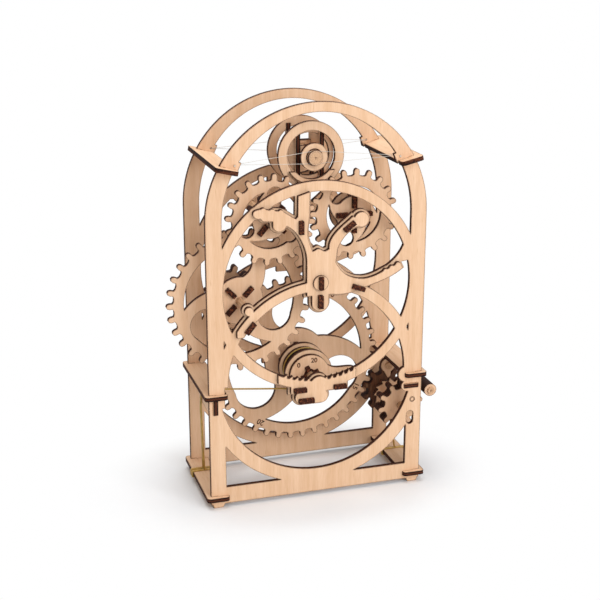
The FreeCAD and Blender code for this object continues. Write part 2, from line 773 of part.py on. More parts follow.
def drive_band():
    """The band from the left base plate, through the guide's eye, to its turn on the drum."""
    wrap = hoop_radius(DRUM_R, BAND_D, DRUM_HOOP_SIDES)
    end = polar(wrap, -98, MAIN)
    eye = (GUIDE_X - 0.4 - BAND_D / 2, *EYE)
    shapes = [hoop(MAIN, wrap, EYE[0], BAND_D, DRUM_HOOP_SIDES)]
    shapes += strip([eye, (end[0], EYE[0], end[1])], BAND_D)
    for y in DRIVE_BAND_YS:
        below = (eye[0], 0.2 * y, GUIDE_LOW - 2)
        shapes += strip([eye, below, (-BAND_X, y, BAND_LOW_Z)], BAND_D)
        shapes.append(wrap_loop(-1, y))
    return joined(shapes)


def winding_band():
    """The band from the right base plate to its turn round the winding shaft."""
    wrap = hoop_radius(AXLE_R, BAND_D, HOOP_SIDES)
    y = (RATCHET_Y + PLY + MAIN_Y - PLY / 2) / 2
    end = polar(wrap, -80, WINDING)
    foot = (BAND_X + 1.5, WINDING_BAND_Y, BAND_LOW_Z)
    standing = strip([foot, (end[0], y, end[1])], BAND_D)
    return joined(standing + [hoop(WINDING, wrap, y, BAND_D), wrap_loop(1, WINDING_BAND_Y)])


# ---------------------------------------------------------------- main wheel with drum and dial
DRUM_Y = DIAL_Y + 2 * PLY
FLANGE_BACK_Y = DRUM_Y + DRUM_LENGTH
MAIN_KEY_ANGLE = 0.0
DIAL_KEY_ANGLE = 20.0


def bored(shape, centre, y, length):
    return shape.cut(disc(centre, AXLE_R, y, length))


def axle(centre):
    """A dowel from its blind front hole through the back frame."""
    return rod(centre, AXLE_R, *AXLE_ENDS)


def main_wheel():
    phase = MAIN_PHASE
    return wheel(MAIN, MAIN_TEETH, MODULE, phase, 23.5, 2.5, 1, MAIN_Y, MAIN_KEY_ANGLE)


def main_keys():
    return key_group(MAIN, MAIN_KEY_ANGLE, FLANGE_BACK_Y + PLY, MAIN_Y + PLY + PROUD)


def drum_core():
    return bored(disc(MAIN, DRUM_R, DRUM_Y, DRUM_LENGTH), MAIN, DRUM_Y, DRUM_LENGTH)


def drum_flange(y):
    return bored(disc(MAIN, FLANGE_R, y), MAIN, y, PLY)


def dial_pointer():
    """The dial disc, drawn out to the right into a leaf-shaped pointer."""
    start = polar(DIAL_R, 24, MAIN)
    end = polar(DIAL_R, -40, MAIN)
    upper = [(17.0, MAIN_Z + 4.0), (23.1, MAIN_Z + 3.2), (POINTER_TIP, MAIN_Z + 2.6)]
    lower = [(27.0, MAIN_Z - 2.4), (19.5, MAIN_Z - 6.6), end]
    leaf = drawn([[start], upper, lower], DIAL_Y)
    plate = bored(fuse([disc(MAIN, DIAL_R, DIAL_Y), leaf]), MAIN, DIAL_Y, PLY)
    return plate.cut(cross(MAIN, DIAL_KEY_ANGLE, DIAL_Y, DIAL_Y + PLY, SLOT_FIT, DIAL_KEY_REACH))


def dial_keys():
    """Four short keys that hold the dial on its axle and stand out in front of it."""
    y0 = DIAL_Y - 2 * PROUD
    return key_group(MAIN, DIAL_KEY_ANGLE, y0, DIAL_Y + PLY, DIAL_KEY_REACH)


# ---------------------------------------------------------------- second wheel
SECOND_KEY_ANGLE = 45.0
PINION_LONG = PINION_LAYERS * PLY
SECOND_PINION_Y = MAIN_Y + PLY / 2 - PINION_LONG / 2


def second_wheel():
    key = SECOND_KEY_ANGLE
    return wheel(SECOND, SECOND_TEETH, MODULE, SECOND_PHASE, 17.0, 185, -1, SECOND_Y, key)


def second_pinion():
    phase = mesh_phase(MAIN_TEETH, MAIN_PHASE, MAIN, PINION_TEETH, SECOND)
    return pinion(SECOND, PINION_TEETH, phase, SECOND_PINION_Y, PINION_LAYERS)


def second_keys():
    return key_group(SECOND, SECOND_KEY_ANGLE, SECOND_Y - KEY_PROUD, SECOND_PINION_Y)


# ---------------------------------------------------------------- escape wheels
ESCAPE_KEY_ANGLE_LEFT = 48.0
ESCAPE_KEY_ANGLE_RIGHT = 0.0
ESCAPE_PINION_Y = SECOND_Y + PLY / 2 - PINION_LONG / 2


def right_escape_phase():
    return mesh_phase(ESCAPE_TEETH, ESCAPE_PHASE, LEFT_ESCAPE, ESCAPE_TEETH, RIGHT_ESCAPE)


def left_escape_wheel():
    key = ESCAPE_KEY_ANGLE_LEFT
    phase = ESCAPE_PHASE
    return wheel(LEFT_ESCAPE, ESCAPE_TEETH, ESCAPE_MODULE, phase, 12.8, 222, 1, ESCAPE_Y, key)


def right_escape_wheel():
    key = ESCAPE_KEY_ANGLE_RIGHT
    phase = right_escape_phase()
    return wheel(RIGHT_ESCAPE, ESCAPE_TEETH, ESCAPE_MODULE, phase, 12.8, -85, 1, ESCAPE_Y, key)


def left_escape_pinion():
    phase = mesh_phase(SECOND_TEETH, SECOND_PHASE, SECOND, ESCAPE_PINION_TEETH, LEFT_ESCAPE)
    return pinion(LEFT_ESCAPE, ESCAPE_PINION_TEETH, phase, ESCAPE_PINION_Y, PINION_LAYERS)


def right_escape_collar():
    y = ESCAPE_PINION_Y
    return bored(disc(RIGHT_ESCAPE, KEY_REACH[1] + 1.5, y), RIGHT_ESCAPE, y, PLY)


def escape_keys(centre, key_angle):
    return key_group(centre, key_angle, ESCAPE_Y - KEY_PROUD, ESCAPE_PINION_Y)


# ---------------------------------------------------------------- balance
HUB_FRONT_Y = ESCAPE_Y - PLY
ANCHOR_REACH = math.hypot(ESCAPE_R, BALANCE_Z - ESCAPE_Z) - ESCAPE_R - ADDENDUM * ESCAPE_MODULE - 0.4
CROSS_HALF = math.sqrt(BALANCE_IN ** 2 - CROSS_X ** 2) + 3.5


def balance_staff():
    """The staff, with a groove near each end for its suspension thread."""
    half = CAP_Y + CAP_LENGTH
    body = rod(BALANCE, STAFF_R, -half, half)
    grooves = []
    for side in (-1, 1):
        y = side * THREAD_Y - 0.5
        grooves.append(ring(BALANCE, STAFF_R + 1, STAFF_R - 0.01, y, 1.0))
    return body.cut(grooves)


def end_cap(side):
    """A round cap that keeps the thread on the staff."""
    y = CAP_Y
    return ring(BALANCE, CAP_R, STAFF_R, y if side > 0 else -y - CAP_LENGTH, CAP_LENGTH)


def plate_slots(y):
    """Slots for the ends of the two cross plates."""
    slots = []
    for x in (-CROSS_X, CROSS_X):
        half = PLY / 2 + SLOT_FIT
        tall = CROSS_HALF + SLOT_FIT
        slots.append(slab((x - half, x + half), (BALANCE_Z - tall, BALANCE_Z + tall), y))
    return slots


def balance_ring_front():
    """The plain rim that the cross plates stand against."""
    return ring(BALANCE, BALANCE_OUT, BALANCE_IN, RING_FRONT_Y)


def balance_ring_inner():
    """The thin ring behind the front rim, with slots for the cross plates."""
    y = RING_FRONT_Y + 2 * PLY
    return ring(BALANCE, *INNER_RING, y).cut(plate_slots(y))


def balance_ring_back():
    return ring(BALANCE, BALANCE_OUT, BALANCE_IN, RING_BACK_Y).cut(plate_slots(RING_BACK_Y))


def cross_plate(side):
    """An upright plate from the front ring to the back ring."""
    x = side * CROSS_X
    y0, y1 = RING_FRONT_Y + PLY, RING_BACK_Y + PLY
    z = (BALANCE_Z - CROSS_HALF, BALANCE_Z + CROSS_HALF)
    body = slab((x - PLY / 2, x + PLY / 2), z, y0, y1 - y0)
    waist = CROSS_HALF - 5.0
    trims = []
    for up in (-1, 1):
        low, high = sorted((BALANCE_Z + up * waist, BALANCE_Z + up * (CROSS_HALF + 1)))
        trims.append(slab((x - PLY, x + PLY), (low, high), y0 + PLY, y1 - y0 - 2 * PLY))
    return body.cut(trims)


def hub_bar(y, length):
    """A block across the two cross plates that grips the staff."""
    half = CROSS_X - PLY / 2
    body = slab((-half, half), (BALANCE_Z - 6.5, BALANCE_Z + 6.5), y, length)
    return body.cut(disc(BALANCE, STAFF_R, y, length))


def hub_disc(y):
    return ring(BALANCE, HUB_R, STAFF_R, y)


def pallet_anchor():
    """The anchor: an arc on the front rim whose ends reach for the two escape wheels' teeth."""
    y = RING_FRONT_Y - PLY
    arch = ring(BALANCE, ANCHOR_REACH, ANCHOR_REACH - 3.4, y)
    return arch.common(slab((-BALANCE_OUT, BALANCE_OUT), (BALANCE_Z - BALANCE_OUT, BALANCE_Z - 10.0), y))


# ---------------------------------------------------------------- winding shaft, crank and click
HANDLE_HEADING = 27.8    # direction of the handle from the winding shaft at rest, in degrees
CLICK_PIVOT = (WINDING[0] - 1.4, WINDING[1] + 22.9)
WINDING_STACK_Y = -15.0
WINDING_STACK_LAYERS = 3


def crank_pivot():
    return polar(CRANK_RADIUS, HANDLE_HEADING, WINDING)


def winding_shaft():
    return rod(WINDING, AXLE_R, FRONT_Y + 0.6, AXLE_ENDS[1])


def winding_pinion():
    phase = mesh_phase(MAIN_TEETH, MAIN_PHASE, MAIN, PINION_TEETH, WINDING)
    return pinion(WINDING, PINION_TEETH, phase, SECOND_PINION_Y, PINION_LAYERS)


def winding_stack():
    return pinion(WINDING, PINION_TEETH, 9.0, WINDING_STACK_Y, WINDING_STACK_LAYERS)


def ratchet_wheel():
    """A wheel with saw teeth for the click."""
    points = []
    for tooth in range(RATCHET_TEETH):
        a = tooth * 360.0 / RATCHET_TEETH
        points.append(polar(RATCHET_R, a, WINDING))
        points.append(polar(RATCHET_R - 2.6, a + 3.0, WINDING))
    return bored(polygon(points, RATCHET_Y), WINDING, RATCHET_Y, PLY)


def crank_arm():
    arm = stadium(WINDING, crank_pivot(), 9.0, CRANK_Y)
    cuts = [disc(WINDING, AXLE_R, CRANK_Y), disc(crank_pivot(), HANDLE_PIN_R, CRANK_Y)]
    return arm.cut(cuts)


def handle_pin():
    """The pin that the handle turns on, with a head before the handle."""
    y0 = CRANK_Y - HANDLE_LENGTH - 0.3
    pin = rod(crank_pivot(), HANDLE_PIN_R, y0 - 1.5, CRANK_Y + PLY)
    return pin.fuse(rod(crank_pivot(), HANDLE_PIN_R + 1.0, y0 - 1.5, y0)).removeSplitter()


def crank_handle():
    y0 = CRANK_Y - HANDLE_LENGTH
    body = disc(crank_pivot(), HANDLE_R, y0, HANDLE_LENGTH - 0.3)
    return body.cut(disc(crank_pivot(), HANDLE_PIN_R + BEARING_FIT, y0, HANDLE_LENGTH))


def click():
    """The pawl: a round head on its pin and a nose that hangs towards the ratchet wheel."""
    nose = polar(RATCHET_R + 0.3, 97, WINDING)
    root = polar(5.0, 215, CLICK_PIVOT)
    head = disc(CLICK_PIVOT, 5.6, RATCHET_Y)
    tail = polygon([root, nose, polar(2.6, 30, nose), polar(5.0, -60, CLICK_PIVOT)], RATCHET_Y)
    return fuse([head, tail]).cut(disc(CLICK_PIVOT, CLICK_PIN_R + BEARING_FIT, RATCHET_Y))


def click_pin():
    y0 = RATCHET_Y - 1.5
    pin = rod(CLICK_PIVOT, CLICK_PIN_R, y0, BACK_Y + PLY)
    collar = ring(CLICK_PIVOT, 3.2, CLICK_PIN_R, RATCHET_Y + PLY + 0.3, PLY)
    head = rod(CLICK_PIVOT, CLICK_PIN_R + 1.0, y0 - 1.0, y0 + 1.2)
    return fuse([pin, collar, head])


# ---------------------------------------------------------------- all the nodes
def nodes():
    parts = {
        "front_frame": front_frame(),
        "back_frame": back_frame(),
        "front_bridge": front_bridge(),
        "main_bridge": main_bridge(),
        "bridge_keys": bridge_keys(),
        "stem_washer": stem_washer(),
        "band_guide_left": band_guide_left(),
        "band_shelf_right": band_shelf_right(),
        "click_pin": click_pin(),
        "suspension_thread_front": suspension_thread(-1),
        "suspension_thread_back": suspension_thread(1),
        "drive_band": drive_band(),
        "winding_band": winding_band(),
        "main_axle": axle(MAIN),
        "main_wheel": main_wheel(),
        "main_keys": main_keys(),
        "drum_core": drum_core(),
        "drum_flange_front": drum_flange(DIAL_Y + PLY),
        "drum_flange_back": drum_flange(FLANGE_BACK_Y),
        "dial_pointer": dial_pointer(),
        "dial_keys": dial_keys(),
        "second_axle": axle(SECOND),
        "second_wheel": second_wheel(),
        "second_pinion": second_pinion(),
        "second_keys": second_keys(),
        "left_escape_axle": axle(LEFT_ESCAPE),
        "left_escape_wheel": left_escape_wheel(),
        "left_escape_pinion": left_escape_pinion(),
        "left_escape_keys": escape_keys(LEFT_ESCAPE, ESCAPE_KEY_ANGLE_LEFT),
        "right_escape_axle": axle(RIGHT_ESCAPE),
        "right_escape_wheel": right_escape_wheel(),
        "right_escape_collar": right_escape_collar(),
        "right_escape_keys": escape_keys(RIGHT_ESCAPE, ESCAPE_KEY_ANGLE_RIGHT),
        "balance_staff": balance_staff(),
        "balance_cap_front": end_cap(-1),
        "balance_cap_back": end_cap(1),
        "balance_ring_front": balance_ring_front(),
        "balance_ring_inner": balance_ring_inner(),
        "balance_ring_back": balance_ring_back(),
        "balance_plate_left": cross_plate(-1),
        "balance_plate_right": cross_plate(1),
        "balance_block_front": hub_bar(RING_FRONT_Y + PLY, PLY),
        "balance_block_back": hub_bar(RING_BACK_Y - PLY, 2 * PLY),
        "balance_hub_disc": hub_disc(HUB_FRONT_Y),
        "pallet_anchor": pallet_anchor(),
        "winding_shaft": winding_shaft(),
        "winding_pinion": winding_pinion(),
        "winding_stack": winding_stack(),
        "ratchet_wheel": ratchet_wheel(),
        "crank_arm": crank_arm(),
        "handle_pin": handle_pin(),
        "crank_handle": crank_handle(),
        "click": click(),
    }
    for name, (place, side) in BRACKETS.items():
        parts[name] = bracket(place, side)
    return parts


os.makedirs("parts", exist_ok=True)
for name, shape in nodes().items():
    shape.translate(PLACE)
    shape.exportStep("parts/%s.step" % name)
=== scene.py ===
"""Looks of the plywood timer: laser-cut birch sheet with burnt edges, dowels, rubber and thread.

Lengths are in metres in the row frame unless a name or a section says millimetres.
"""
import json
import math

import bpy
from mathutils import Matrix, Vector


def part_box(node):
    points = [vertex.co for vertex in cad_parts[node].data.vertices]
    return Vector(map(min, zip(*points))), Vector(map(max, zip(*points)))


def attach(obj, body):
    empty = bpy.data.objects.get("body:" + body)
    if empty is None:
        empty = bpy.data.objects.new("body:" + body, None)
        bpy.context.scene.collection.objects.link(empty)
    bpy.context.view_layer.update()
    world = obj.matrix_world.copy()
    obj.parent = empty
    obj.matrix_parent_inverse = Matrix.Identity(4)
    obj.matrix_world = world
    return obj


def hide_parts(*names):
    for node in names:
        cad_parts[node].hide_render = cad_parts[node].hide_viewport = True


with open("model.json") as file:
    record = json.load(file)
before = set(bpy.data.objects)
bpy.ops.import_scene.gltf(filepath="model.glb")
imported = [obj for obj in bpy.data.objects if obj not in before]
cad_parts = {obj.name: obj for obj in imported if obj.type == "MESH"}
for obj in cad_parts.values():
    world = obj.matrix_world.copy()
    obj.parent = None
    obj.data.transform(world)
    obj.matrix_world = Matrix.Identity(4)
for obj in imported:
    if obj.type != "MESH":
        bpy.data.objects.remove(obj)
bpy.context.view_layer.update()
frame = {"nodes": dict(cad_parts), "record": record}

MM = 0.001


# ---------------------------------------------------------------- colours and nodes
def hex_linear(code):
    """An sRGB hex colour as a linear RGBA colour."""
    parts = [int(code[i:i + 2], 16) / 255 for i in (1, 3, 5)]
    linear = [p / 12.92 if p <= 0.04045 else ((p + 0.055) / 1.055) ** 2.4 for p in parts]
    return (*linear, 1.0)


def add(tree, kind, inputs=None, stops=(), **settings):
    """Add a node with its settings, set or link its inputs, and give a colour ramp its stops."""
    made = tree.nodes.new(kind)
    for name, value in settings.items():
        setattr(made, name, value)
    for k, (position, code) in enumerate(stops):
        if k > 1:
            made.color_ramp.elements.new(position)
        made.color_ramp.elements[k].position = position
        made.color_ramp.elements[k].color = hex_linear(code)
    for name, value in (inputs or {}).items():
        socket = made.inputs[name]
        if isinstance(value, bpy.types.NodeSocket):
            tree.links.new(value, socket)
        else:
            socket.default_value = value
    return made


def ranged(tree, value, start, end, low=0.0, high=1.0, **settings):
    """A value between start and end, carried to between low and high."""
    inputs = {0: value, 1: start, 2: end, 3: low, 4: high}
    return add(tree, "ShaderNodeMapRange", inputs, **settings).outputs[0]


def computed(tree, operation, *values):
    """The result of a sum on plain values."""
    return add(tree, "ShaderNodeMath", dict(enumerate(values)), operation=operation).outputs[0]


def dot(tree, first, second):
    """The dot product of two vectors."""
    inputs = {0: first, 1: second}
    return add(tree, "ShaderNodeVectorMath", inputs, operation="DOT_PRODUCT").outputs["Value"]


def blended(tree, share, none, full):
    """One colour passing into another as share goes from 0 to 1."""
    inputs = {"Factor": share, "A": none, "B": full}
    return add(tree, "ShaderNodeMix", inputs, data_type="RGBA").outputs[2]


def stretched(tree, place, lengths_mm):
    """A place scaled so that a pattern repeats once per given length along X, Y and Z."""
    scale = tuple(1.0 / (length * MM) for length in lengths_mm)
    return add(tree, "ShaderNodeMapping", {"Vector": place, "Scale": scale}).outputs[0]


def noise(tree, place, scale=1.0, **more):
    """A cloudy value, mostly between 0.3 and 0.7."""
    return add(tree, "ShaderNodeTexNoise", {"Vector": place, "Scale": scale, **more}).outputs[0]


def ramp(tree, share, stops):
    """A colour ramp read at share."""
    return add(tree, "ShaderNodeValToRGB", {"Fac": share}, stops).outputs[0]


def new_material(name):
    """An empty material and its node tree."""
    material = bpy.data.materials.new(name)
    material.use_nodes = True
    material.node_tree.nodes.clear()
    return material, material.node_tree


def finish_material(tree, colour, roughness, height, depth_mm, **more):
    """Close a material with a Principled shader and a bump of the given depth."""
    bump = add(tree, "ShaderNodeBump", {"Height": height, "Strength": 1.0, "Distance": depth_mm * MM})
    inputs = {"Base Color": colour, "Roughness": roughness, "Normal": bump.outputs[0]}
    inputs.update(more)
    shader = add(tree, "ShaderNodeBsdfPrincipled", inputs)
    add(tree, "ShaderNodeOutputMaterial", {"Surface": shader.outputs[0]})


# ---------------------------------------------------------------- birch plywood
VENEER = ("#e1be9d", "#d2a984")         # pale rotary-cut birch, between its light and dark bands
BURNT_AND_SHADED_VENEER = ("#6b4630", "#40271a")         # the same sheet's faces darkened: partly browned by the laser's burn, partly painted shade for the winding pinion sitting in shadow
FLECK = "#bd9066"                       # short pores and rays
SCORCH = "#4a1f0b"                      # smoke stain on the veneer beside a cut
# a cut edge from one face of the sheet to the other: black skins and a browner middle
BURNT = ((0.0, "#0e0402"), (0.16, "#1c0a05"), (0.36, "#3c190c"), (0.52, "#5c311c"),
         (0.66, "#381609"), (0.84, "#1c0a05"), (1.0, "#0e0402"))
BLACKENED = ((0.0, "#0c0402"), (0.5, "#34180d"), (1.0, "#0c0402"))
CHAR = ((0.3, "#120502"), (0.52, "#3a180c"), (0.68, "#7a4428"))
BEECH = ((0.3, "#a9805a"), (0.6, "#c9a17c"), (0.8, "#d8b795"))
LATEX = ((0.3, "#94702c"), (0.7, "#c39a4b"))
NYLON = ((0.0, "#bdb7ad"), (1.0, "#dcd6cb"))
DRY = {"Specular IOR Level": 0.2}       # bare, unpolished wood has next to no sheen

GRAIN_MM = 14.0             # length of the veneer's fibres
FIBRE_MM = 0.8              # and their width
FIBRE_RELIEF_MM = 0.02
BAND_SCALE = 0.17           # the soft bands, fibres and flecks against the fibres' size
FIBRE_SCALE = 1.6
FLECK_SCALE = 1.4
BAND_WEIGHT = 1.5           # the bands count this much more than the fibres in the tone
TONE = (0.85, 1.65)         # the tone at the darkest and the lightest veneer
FLECK_LEVEL = (0.66, 0.74)  # where a fleck starts and is full
FLECK_SHARE = 0.55          # how far a full fleck is tinted
FACE_LEVEL = 0.6            # a surface turned this much towards the sheet's faces counts as veneer
STRIAE_MM = (0.5, 6.0)      # the burnt edge's streaks, along the cut and across the sheet
PLY_WANDER = 0.16           # how far the plies wander, as a share of the sheet
SCORCH_WIDTH_MM = 1.3       # the smoke stain's reach from a cut
SCORCH_BEND = (0.995, 0.83) # the softened normal's cosine where the stain starts and is full
SCORCH_SHARE = 0.9
SCORCH_SAMPLES = 6
CUT_ROUGHNESS = 0.85
FACE_ROUGHNESS = 0.6


def veneer_colour(tree, place, grain_mm, veneer):
    """Birch veneer's colour, from soft bands along the grain, fine fibres and short flecks.

    The fibres come back too, for the relief.
    """
    fine = stretched(tree, place, grain_mm)
    bands = noise(tree, fine, BAND_SCALE, Detail=3.0, Roughness=0.55)
    fibres = noise(tree, fine, FIBRE_SCALE, Detail=4.0)
    flecks = noise(tree, fine, FLECK_SCALE)
    tone = computed(tree, "ADD", computed(tree, "MULTIPLY", bands, BAND_WEIGHT), fibres)
    level = ranged(tree, tone, *TONE)
    colour = blended(tree, level, hex_linear(veneer[1]), hex_linear(veneer[0]))
    rare = ranged(tree, flecks, *FLECK_LEVEL, high=FLECK_SHARE)
    return blended(tree, rare, colour, hex_linear(FLECK)), fibres


def burnt_edge(tree, coordinates, thin, layers, burnt):
    """A cut edge's colour across each sheet, with the plies wandering a little along the cut."""
    across = dot(tree, coordinates.outputs["Generated"], thin)
    across = computed(tree, "FRACT", computed(tree, "MULTIPLY", across, float(layers)))
    along_mm, through_mm = STRIAE_MM
    striae_mm = [through_mm * abs(c) + along_mm * (1 - abs(c)) for c in thin]
    striae = noise(tree, stretched(tree, coordinates.outputs["Object"], striae_mm), Detail=2.0)
    wander = ranged(tree, striae, 0.3, 0.7, -PLY_WANDER, PLY_WANDER)
    return ramp(tree, computed(tree, "ADD", across, wander), burnt)


def plywood(name, thin, grain="Z", layers=1, veneer=VENEER, burnt=BURNT):
    """Laser-cut birch plywood: pale veneer on the sheet's two faces and burnt plies on every cut.

    thin is the direction across the sheet and layers the number of sheets glued together.
    """
    material, tree = new_material(name)
    coordinates = add(tree, "ShaderNodeTexCoord")
    thin = Vector(thin).normalized()
    grain_mm = [GRAIN_MM if axis == grain else FIBRE_MM for axis in "XYZ"]
    face, fibres = veneer_colour(tree, coordinates.outputs["Object"], grain_mm, veneer)
    facing = computed(tree, "ABSOLUTE", dot(tree, coordinates.outputs["Normal"], thin))
    is_face = computed(tree, "GREATER_THAN", facing, FACE_LEVEL)
    edge = burnt_edge(tree, coordinates, thin, layers, burnt)

    softened = add(tree, "ShaderNodeBevel", {"Radius": SCORCH_WIDTH_MM * MM}, samples=SCORCH_SAMPLES)
    true_normal = add(tree, "ShaderNodeNewGeometry").outputs["True Normal"]
    near_cut = ranged(tree, dot(tree, softened.outputs[0], true_normal), *SCORCH_BEND, high=SCORCH_SHARE)
    stained = blended(tree, near_cut, face, hex_linear(SCORCH))
    colour = blended(tree, is_face, edge, stained)
    rough = ranged(tree, is_face, 0.0, 1.0, CUT_ROUGHNESS, FACE_ROUGHNESS)
    finish_material(tree, colour, rough, fibres, FIBRE_RELIEF_MM, **DRY)
    return material


# ---------------------------------------------------------------- the other materials
def clouded(name, size_mm, detail, stops, roughness, relief_mm, **more):
    """A material whose colour and relief follow one noise of the given size along X, Y and Z."""
    material, tree = new_material(name)
    place = add(tree, "ShaderNodeTexCoord").outputs["Object"]
    cloud = noise(tree, stretched(tree, place, size_mm), Detail=detail)
    finish_material(tree, ramp(tree, cloud, stops), roughness, cloud, relief_mm, **more)
    return material


def burnt_tabs():
    """The ends of laser-cut tabs: char all over, drawn out along the cut."""
    return clouded("burnt_tabs", (1.2, 4.0, 1.2), 3.0, CHAR, CUT_ROUGHNESS, 0.05, **DRY)


def beech_dowel():
    """Turned beech dowel: warm, close-grained, with darker flecks along it."""
    return clouded("beech_dowel", (0.6, 9.0, 0.6), 4.0, BEECH, 0.6, 0.03)


def latex_rubber():
    """Natural latex band: amber, slightly translucent, with a dusty sheen."""
    translucent = {"Subsurface Weight": 0.15}
    return clouded("latex_rubber", (1.0, 1.0, 4.0), 3.0, LATEX, 0.45, 0.03, **translucent)


def nylon_thread():
    """Fine pale thread with a soft lustre and a tight twist."""
    material, tree = new_material("nylon_thread")
    place = add(tree, "ShaderNodeTexCoord").outputs["Object"]
    inputs = {"Vector": stretched(tree, place, (1.2, 1.2, 1.2)), "Scale": 1.0}
    twist = add(tree, "ShaderNodeTexWave", inputs, bands_direction="DIAGONAL").outputs["Fac"]
    finish_material(tree, ramp(tree, twist, NYLON), 0.5, twist, 0.03)
    return material


# ---------------------------------------------------------------- finishes of the CAD nodes
ALONG_Y = (0, 1, 0)
TOP_BRACKET_TILT = math.radians(13.5)


def dress_nodes():
    """Give every CAD node its finish, and add the pieces that replace or mark some of them."""
    sheet = plywood("birch_plywood", ALONG_Y)
    finishes = {name: sheet for name in frame["nodes"]}
    double = plywood("birch_plywood_double", ALONG_Y, layers=2)
    upright = plywood("birch_plywood_upright", (1, 0, 0), grain="Y")
    level = plywood("birch_plywood_level", (0, 0, 1), grain="Y")
    char = burnt_tabs()
    dowel = beech_dowel()
    rubber = latex_rubber()
    thread = nylon_thread()
    for name in ("second_pinion", "left_escape_pinion", "balance_block_back"):
        finishes[name] = double
    for name in ("balance_plate_left", "balance_plate_right", "band_guide_left"):
        finishes[name] = upright
    finishes["winding_stack"] = plywood("birch_plywood_triple", ALONG_Y, layers=3)
    # the winding pinion's dark faces are painted shade on top of the laser's burn
    finishes["winding_pinion"] = plywood("burnt_and_painted_shade_plywood", ALONG_Y, layers=3, veneer=BURNT_AND_SHADED_VENEER)
    finishes["drum_core"] = plywood("birch_plywood_drum", ALONG_Y, layers=4)
    finishes["crank_handle"] = plywood("birch_plywood_handle", ALONG_Y, layers=6, burnt=BLACKENED)
    for side, tilt in (("left", TOP_BRACKET_TILT), ("right", -TOP_BRACKET_TILT)):
        thin = (math.sin(tilt), 0, math.cos(tilt))
        finishes["top_bracket_" + side] = plywood("birch_plywood_tilted_" + side, thin, grain="Y")
    for name in frame["nodes"]:
        if name.startswith(("mid_bracket", "base_plate", "band_shelf")):
            finishes[name] = level
        if name.endswith(("_axle", "_shaft", "_staff", "_pin")):
            finishes[name] = dowel
        if name.endswith("_keys"):
            finishes[name] = char
        if name.endswith("_band"):
            finishes[name] = rubber
        if name.startswith("suspension_thread"):
            finishes[name] = thread
    for name, material in finishes.items():
        node = frame["nodes"][name]
        node.data.materials.clear()
        node.data.materials.append(material)
    band_pieces(rubber)
    thread_pieces(thread)
    engraved_numbers(char)
    # burnt rings and marks, and a painted shadow ring on the hub
    burnt_marks_and_painted_shadow_ring(char)


# ---------------------------------------------------------------- rubber, thread, engraved marks and a painted shadow ring
# Every length in this section is in millimetres.

def joint_place(name):
    """A joint's x and z in millimetres."""
    joint = next(j for j in frame["record"]["behaviour"]["joints"] if j["name"] == name)
    return (joint["pos_m"][0] / MM, joint["pos_m"][2] / MM)


def node_box_mm(name):
    """A CAD node's lowest and highest corner, in millimetres."""
    return [Vector(corner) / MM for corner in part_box(name)]


def mesh_piece(name, points, faces, material):
    """A smooth mesh of its own, from points in millimetres."""
    mesh = bpy.data.meshes.new(name)
    mesh.from_pydata([Vector(p) * MM for p in points], [], faces)
    mesh.materials.append(material)
    for polygon in mesh.polygons:
        polygon.use_smooth = True
    piece = bpy.data.objects.new(name, mesh)
    bpy.context.collection.objects.link(piece)
    return piece


def sweep(path, wide, thick, closed=False, sides=10):
    """Points and faces of an oval cord along a path, all in millimetres."""
    path = [Vector(p) for p in path]
    count = len(path)
    points, faces = [], []
    normal = None
    for k, here in enumerate(path):
        before = path[k - 1] if closed or k > 0 else here
        after = path[(k + 1) % count] if closed or k + 1 < count else here
        ahead = (after - before).normalized()
        if normal is None:
            normal = ahead.orthogonal().normalized()
        normal = (normal - ahead * normal.dot(ahead)).normalized()
        across = ahead.cross(normal)
        for j in range(sides):
            turn = 2 * math.pi * j / sides
            thickwise = normal * (thick / 2 * math.cos(turn))
            widthwise = across * (wide / 2 * math.sin(turn))
            points.append(here + thickwise + widthwise)
    for k in range(count if closed else count - 1):
        a, b = k * sides, (k + 1) % count * sides
        faces += [(a + j, a + (j + 1) % sides, b + (j + 1) % sides, b + j) for j in range(sides)]
    if not closed:
        faces += [tuple(range(sides))[::-1], tuple((count - 1) * sides + j for j in range(sides))]
    return points, faces


def gathered(parts):
    """Several (points, faces) lists as one."""
    points, faces = [], []
    for some_points, some_faces in parts:
        start = len(points)
        points += some_points
        faces += [tuple(start + i for i in face) for face in some_faces]
    return points, faces


def circle(centre, radius, y, steps=48):
    """A ring of points about an axis along Y; centre is its x and z."""
    turns = [2 * math.pi * k / steps for k in range(steps)]
    return [(centre[0] + radius * math.cos(t), y, centre[1] + radius * math.sin(t)) for t in turns]


def rounded(corners, radius, steps=5, closed=False):
    """A path with its corners rounded off."""
    corners = [Vector(c) for c in corners]
    count = len(corners)
    path = []
    for k, here in enumerate(corners):
        if not closed and k in (0, count - 1):
            path.append(here)
            continue
        before, after = corners[k - 1] - here, corners[(k + 1) % count] - here
        start = here + before.normalized() * min(radius, before.length / 2)
        end = here + after.normalized() * min(radius, after.length / 2)
        for j in range(steps + 1):
            t = j / steps
            path.append((1 - t) ** 2 * start + 2 * t * (1 - t) * here + t * t * end)
    return path


